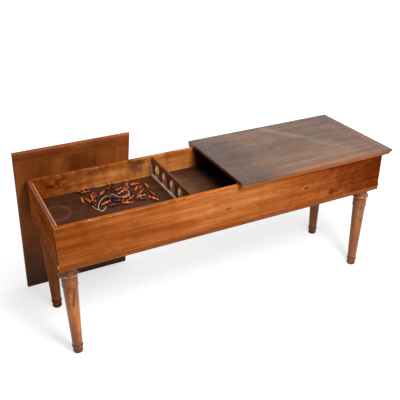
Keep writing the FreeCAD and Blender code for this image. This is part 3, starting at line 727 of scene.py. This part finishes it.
for seed, node in enumerate(sorted(set(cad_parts) - set(GAME_NODES)), start=1):
    fits = (row[2:] for row in WOODS if node.startswith(row[0]) and node.endswith(row[1]))
    direction, looks = next(fits)
    grain = GRAINS[direction]
    turned = node_points(node) @ np.array(grain).T
    low, high = list(turned.min(0)), list(turned.max(0))
    material = wood("wood_" + node, grain, low, high, looks, MARKS.get(node, ()), JOINTS.get(node, ()), seed)
    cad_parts[node].data.materials.clear()
    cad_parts[node].data.materials.append(material)


# Cord
CORD_ROUTE = [
    (-410, 160),
    (-410, 170),
    (-425, 180),
    (-440, 170),
    (-440, 150),
    (-430, 135),
    (-425, 115),
    (-435, 95),
    (-455, 85),
    (-480, 80),
    (-495, 85),
    (-500, 105),
    (-510, 125),
    (-525, 130),
    (-545, 125),
    (-570, 110),
    (-590, 90),
    (-605, 65),
    (-620, 30),
    (-625, 10),
    (-625, -5),
    (-620, -15),
    (-605, -10),
    (-595, 0),
    (-585, 20),
]
TAIL_ROUTE = [(-630, 5), (-635, 20), (-640, 40), (-645, 55)]
CORD_DIAMETER = 0.0032
REST_GAP = 0.3
CORD_LEVEL = PLAY + REST_GAP + CORD_DIAMETER / 2 * MM_PER_M
STRAND_RADIUS_SHARE = 0.27
STRAND_SIDES = 8
KNOT_STEPS = 72
KNOT_SIDES = 10
KNOT_REACH_SHARE = 0.21
KNOT_RADIUS_SHARE = 0.42


def spline_points(name, route):
    """Points along the smooth spline that has a cord's route as its control points."""
    data = bpy.data.curves.new(name, "CURVE")
    data.dimensions = "3D"
    data.resolution_u = 24
    spline = data.splines.new("NURBS")
    spline.points.add(len(route) - 1)
    for point, (x, y) in zip(spline.points, route):
        point.co = (*in_table(x, y, CORD_LEVEL), 1)
    spline.order_u = 3
    spline.use_endpoint_u = True
    holder = add_object(name, data)
    mesh = bpy.data.meshes.new_from_object(holder)
    points = [vertex.co.copy() for vertex in mesh.vertices]
    bpy.data.objects.remove(holder)
    bpy.data.meshes.remove(mesh)
    return points


def spoke(side, other, turns):
    """The direction that lies so many turns on from the side towards the other."""
    angle = 2 * math.pi * turns
    return side * math.cos(angle) + other * math.sin(angle)


def frames_along(path):
    """Each place of a path, with two directions square to the path there."""
    side = Vector((0, 0, 1))
    for index, place in enumerate(path):
        ahead = (path[min(index + 1, len(path) - 1)] - path[max(index - 1, 0)]).normalized()
        side = (side - ahead * side.dot(ahead)).normalized()
        yield place, side, ahead.cross(side)


def swept(path, radius, sides, points, faces):
    """Adds a tube along a path to lists of points and faces, with closed ends."""
    first = len(points)
    last = first + (len(path) - 1) * sides
    for place, side, other in frames_along(path):
        for step in range(sides):
            points.append(place + spoke(side, other, step / sides) * radius)
    for low in range(first, last, sides):
        high = low + sides
        for step in range(sides):
            after = (step + 1) % sides
            faces.append((low + step, low + after, high + after, high + step))
    faces.append(tuple(first + step for step in reversed(range(sides))))
    faces.append(tuple(last + step for step in range(sides)))


def twisted(name, path, diameter, strands=3, pitch=0.011):
    """A cord of strands wound round each other along a path, and its length."""
    strand_radius = diameter * STRAND_RADIUS_SHARE
    offset = diameter / 2 - strand_radius
    gone = [0.0]
    for before, place in zip(path, path[1:]):
        gone.append(gone[-1] + (place - before).length)
    points, faces = [], []
    for strand in range(strands):
        line = []
        for length, (place, side, other) in zip(gone, frames_along(path)):
            line.append(place + spoke(side, other, length / pitch + strand / strands) * offset)
        swept(line, strand_radius, STRAND_SIDES, points, faces)
    return mesh_object(name, points, faces), gone[-1]


def knot_piece():
    """A small overhand knot: a tube along a trefoil, pressed to the CAD knot's size."""
    low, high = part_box("cord_knot")
    middle, reach = (low + high) / 2, (high.x - low.x) / 2
    line = []
    for step in range(KNOT_STEPS + 1):
        turn = 2 * math.pi * step / KNOT_STEPS
        x = math.sin(turn) + 2 * math.sin(2 * turn)
        y = math.cos(turn) - 2 * math.cos(2 * turn)
        z = -math.sin(3 * turn)
        line.append(middle + Vector((x, y, z)) * reach * KNOT_REACH_SHARE)
    points, faces = [], []
    swept(line, CORD_DIAMETER * KNOT_RADIUS_SHARE, KNOT_SIDES, points, faces)
    return mesh_object("tied_knot", points, faces)


def cord_material():
    g = Graph(bpy.data.materials.new("cord_cotton"))
    place = g.place()
    fluff = g.noise(place, (1800, 1800, 1800), detail=3, roughness=0.6)
    soil = g.noise(place, (45, 45, 45), detail=3, roughness=0.6)
    colour = g.ramp(fluff, [(0.3, (0.40, 0.30, 0.19)), (0.7, (0.66, 0.54, 0.37))])
    colour = g.mix(g.fade(soil, 0.45, 0.75), colour, (0.42, 0.28, 0.16))
    return g.surface(colour, 0.9, fluff, bump=0.5, depth=0.0004, Specular_IOR_Level=0.2, Sheen_Weight=0.3)


cotton = cord_material()
cord_path = spline_points("pull_cord_line", CORD_ROUTE)
tail_path = spline_points("cord_tail_line", TAIL_ROUTE)
cord, cord_length = twisted("twisted_pull_cord", cord_path, CORD_DIAMETER)
tail, tail_length = twisted("twisted_cord_tail", tail_path, CORD_DIAMETER)
knot = knot_piece()
for piece, node in ((cord, "pull_cord"), (tail, "cord_tail"), (knot, "cord_knot")):
    piece.data.materials.append(cotton)
    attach(piece, "game_pieces")
    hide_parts(node)


# Pins and spinning top
# An outline holds radius shares, height shares and how the stretch up to each point runs
PIN_OUTLINE_SHARES = [
    (0.0, 0.0, "line"),
    (0.80, 0.0, "line"),
    (0.88, 0.012, "line"),
    (0.88, 0.055, "line"),
    (0.80, 0.075, "line"),
    (0.42, 0.14, "ease"),
    (1.0, 0.41, "ease"),
    (0.42, 0.70, "ease"),
    (0.73, 0.85, "ease"),
    (0.0, 1.0, "dome"),
]
TOP_OUTLINE_SHARES = [
    (0.0, 0.0, "line"),
    (0.08, 0.0, "line"),
    (0.11, 0.012, "line"),
    (0.98, 0.225, "line"),
    (1.0, 0.25, "line"),
    (1.0, 0.30, "line"),
    (0.96, 0.32, "line"),
    (0.96, 0.335, "line"),
    (0.20, 0.72, "hollow"),
    (0.19, 0.90, "line"),
    (0.235, 0.93, "line"),
    (0.235, 0.975, "line"),
    (0.18, 1.0, "line"),
    (0.0, 1.0, "line"),
]
CURVE_STEPS = 6
PIN_SIDES = 20
TOP_SIDES = 32
# Points this close to the end of a turned solid belong to that end
END_BAND = 0.0001
# Pins are darkened with painted shade up to this height above the play floor
PAINTED_SHADE_HEIGHT = 0.013


def smooth_outline(corners):
    """The points of a turned outline, with steps along its curved stretches."""
    points = [corners[0][:2]]
    for radius, height, stretch in corners[1:]:
        start, foot = points[-1]
        steps = 1 if stretch == "line" else CURVE_STEPS
        for step in range(1, steps + 1):
            share = step / steps
            rise = math.sin(math.pi / 2 * share)
            fall = 1 - math.cos(math.pi / 2 * share)
            outward = {"line": share, "ease": rise * rise, "dome": fall, "hollow": rise}[stretch]
            upward = rise if stretch == "dome" else share
            points.append((start + (radius - start) * outward, foot + (height - foot) * upward))
    return points


def loose_parts(node):
    """The points of each separate solid in a node, as arrays."""
    scratch = bmesh.new()
    scratch.from_mesh(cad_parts[node].data)
    bmesh.ops.remove_doubles(scratch, verts=scratch.verts, dist=1e-6)
    seen = set()
    parts = []
    for first in scratch.verts:
        if first in seen:
            continue
        seen.add(first)
        group = [first]
        for vertex in group:
            for edge in vertex.link_edges:
                other = edge.other_vert(vertex)
                if other not in seen:
                    seen.add(other)
                    group.append(other)
        parts.append(np.array([vertex.co for vertex in group]))
    scratch.free()
    return parts


def turned_frame(points):
    """The two end middles and the axis of a turned solid, from its points."""
    middle = (points.max(0) + points.min(0)) / 2
    for _ in range(2):
        spread = points - points.mean(0)
        axis = np.linalg.svd(spread, full_matrices=False)[2][0]
        along = (points - middle) @ axis
        low, high = along.min(), along.max()
        ends = [points[along < low + END_BAND].mean(0), points[along > high - END_BAND].mean(0)]
        axis = (ends[1] - ends[0]) / np.linalg.norm(ends[1] - ends[0])
        middle = ends[0]
    return ends, axis


def foot_and_top(points, wide_foot):
    """The foot and top of a turned solid and its largest radius. The foot is its wider or narrower end."""
    ends, axis = turned_frame(points)
    widths = np.linalg.norm(np.cross(points - ends[0], axis), axis=1)
    near = [widths[np.abs((points - end) @ axis) < END_BAND].max() for end in ends]
    if (near[0] < near[1]) == wide_foot:
        ends.reverse()
    return Vector(ends[0]), Vector(ends[1]), widths.max()


def lathed(foot, top, radius, outline, sides, points, faces):
    """Adds a turned solid with an outline between two ends to lists of points and faces."""
    way = top - foot
    length = way.length
    way.normalize()
    side = way.orthogonal().normalized()
    other = way.cross(side)
    rings = outline[1:-1]
    first = len(points) + 1
    last = first + (len(rings) - 1) * sides
    points.append(foot)
    for share, up in rings:
        for step in range(sides):
            points.append(foot + way * (up * length) + spoke(side, other, step / sides) * (share * radius))
    points.append(top)
    for step in range(sides):
        after = (step + 1) % sides
        faces.append((first - 1, first + after, first + step))
        for low in range(first, last, sides):
            high = low + sides
            faces.append((low + step, low + after, high + after, high + step))
        faces.append((last + step, last + after, len(points) - 1))


def turned_pieces(name, node, outline, sides, materials, wide_foot=True):
    """Smooth turned pieces in the places of a node's solids, each in one of the materials."""
    points, faces, tones = [], [], []
    for part in loose_parts(node):
        foot, top, radius = foot_and_top(part, wide_foot)
        lathed(foot, top, radius, outline, sides, points, faces)
        tone = random.randrange(len(materials))
        tones += [tone] * (len(faces) - len(tones))
    piece = mesh_object(name, points, faces)
    for material in materials:
        piece.data.materials.append(material)
    for polygon, tone in zip(piece.data.polygons, tones):
        polygon.material_index = tone
    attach(piece, "game_pieces")
    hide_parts(node)
    return piece


def pin_material(name, dark, light):
    g = Graph(bpy.data.materials.new(name))
    place = g.place()
    grain = g.noise(place, (160, 160, 160), detail=4, roughness=0.6, distortion=1.5)
    cloud = g.noise(place, (38, 38, 38), detail=3, roughness=0.6)
    colour = g.ramp(g.total((cloud, 0.4), (grain, 0.6)), [(0.35, dark), (0.62, light)])
    # Painted shade: the pins darken towards the play floor
    painted_shade = g.fade(g.split(place)[2], PLAY_Z, PLAY_Z + PAINTED_SHADE_HEIGHT, 0.85, 0.0)
    colour = g.tinted(painted_shade, colour, (0.25, 0.18, 0.16))
    roughness = g.fade(cloud, *MOST_NOISE, 0.2, 0.36)
    return g.surface(colour, roughness, grain, bump=0.12, depth=0.0003, Specular_IOR_Level=0.35)


pin_tones = [
    pin_material("pin_orange", (0.15, 0.02, 0.004), (0.55, 0.135, 0.028)),
    pin_material("pin_russet", (0.08, 0.01, 0.003), (0.33, 0.06, 0.012)),
    pin_material("pin_red_brown", (0.04, 0.006, 0.003), (0.18, 0.026, 0.008)),
    pin_material("pin_dark", (0.015, 0.004, 0.002), (0.075, 0.013, 0.006)),
]
top_tone = [pin_material("spinning_top_dark", (0.025, 0.008, 0.008), (0.07, 0.02, 0.018))]
pin_outline = smooth_outline(PIN_OUTLINE_SHARES)
top_outline = smooth_outline(TOP_OUTLINE_SHARES)
for node in ("lying_pins", "standing_pins"):
    turned_pieces("turned_" + node, node, pin_outline, PIN_SIDES, pin_tones)
spinning_top = turned_pieces(
    "turned_spinning_top", "spinning_top", top_outline, TOP_SIDES, top_tone, wide_foot=False
)


# Floor, light and background
FLOOR_REACH = 30
FLOOR_COLOUR = (0.8, 0.8, 0.8, 1)
SEEN_FLOOR_COLOUR = (0.58, 0.58, 0.58, 1)
# The seen floor's own light, which rises to white between two distances from the middle
GLOW_DISTANCES = (1.0, 2.6)
GLOW_STRENGTHS = (0.70, 1.0)
WHITE = (1, 1, 1, 1)
SKY_STRENGTH = 0.13
LAMP_AIM = (0, 0, 600)


def floor_material():
    g = Graph(bpy.data.materials.new("pale_floor"))
    plain = g.add("ShaderNodeBsdfDiffuse", FLOOR_COLOUR)
    shaded = g.add("ShaderNodeBsdfDiffuse", SEEN_FLOOR_COLOUR)
    away = g.vector("LENGTH", g.place())
    level = g.fade(away, *GLOW_DISTANCES, *GLOW_STRENGTHS, curve="LINEAR")
    glow = g.add("ShaderNodeEmission", WHITE, level)
    pale = g.add("ShaderNodeAddShader", shaded.outputs[0], glow.outputs[0])
    either = g.add("ShaderNodeMixShader", g.seen(), plain.outputs[0], pale.outputs[0])
    return g.close("ShaderNodeOutputMaterial", either)


def studio_world():
    g = Graph(bpy.data.worlds.new("studio"))
    soft = g.add("ShaderNodeBackground", WHITE, SKY_STRENGTH)
    white = g.add("ShaderNodeBackground", WHITE, 1.0)
    either = g.add("ShaderNodeMixShader", g.seen(), soft.outputs[0], white.outputs[0])
    return g.close("ShaderNodeOutputWorld", either)


def soft_lamp(name, place, aim, size, power):
    data = bpy.data.lights.new(name, "AREA")
    data.shape = "SQUARE"
    data.size = size
    data.energy = power
    point_at(add_object(name, data), place, aim)


corners = [(x * FLOOR_REACH, y * FLOOR_REACH, 0) for x, y in ((-1, -1), (1, -1), (1, 1), (-1, 1))]
floor = mesh_object("floor", corners, [(0, 1, 2, 3)], smooth=False)
floor.data.materials.append(floor_material())
bpy.context.scene.world = studio_world()
soft_lamp("key", place=(150, -2200, 2650), aim=LAMP_AIM, size=1.0, power=96)
soft_lamp("overhead", place=(100, -500, 3400), aim=LAMP_AIM, size=2.0, power=70)
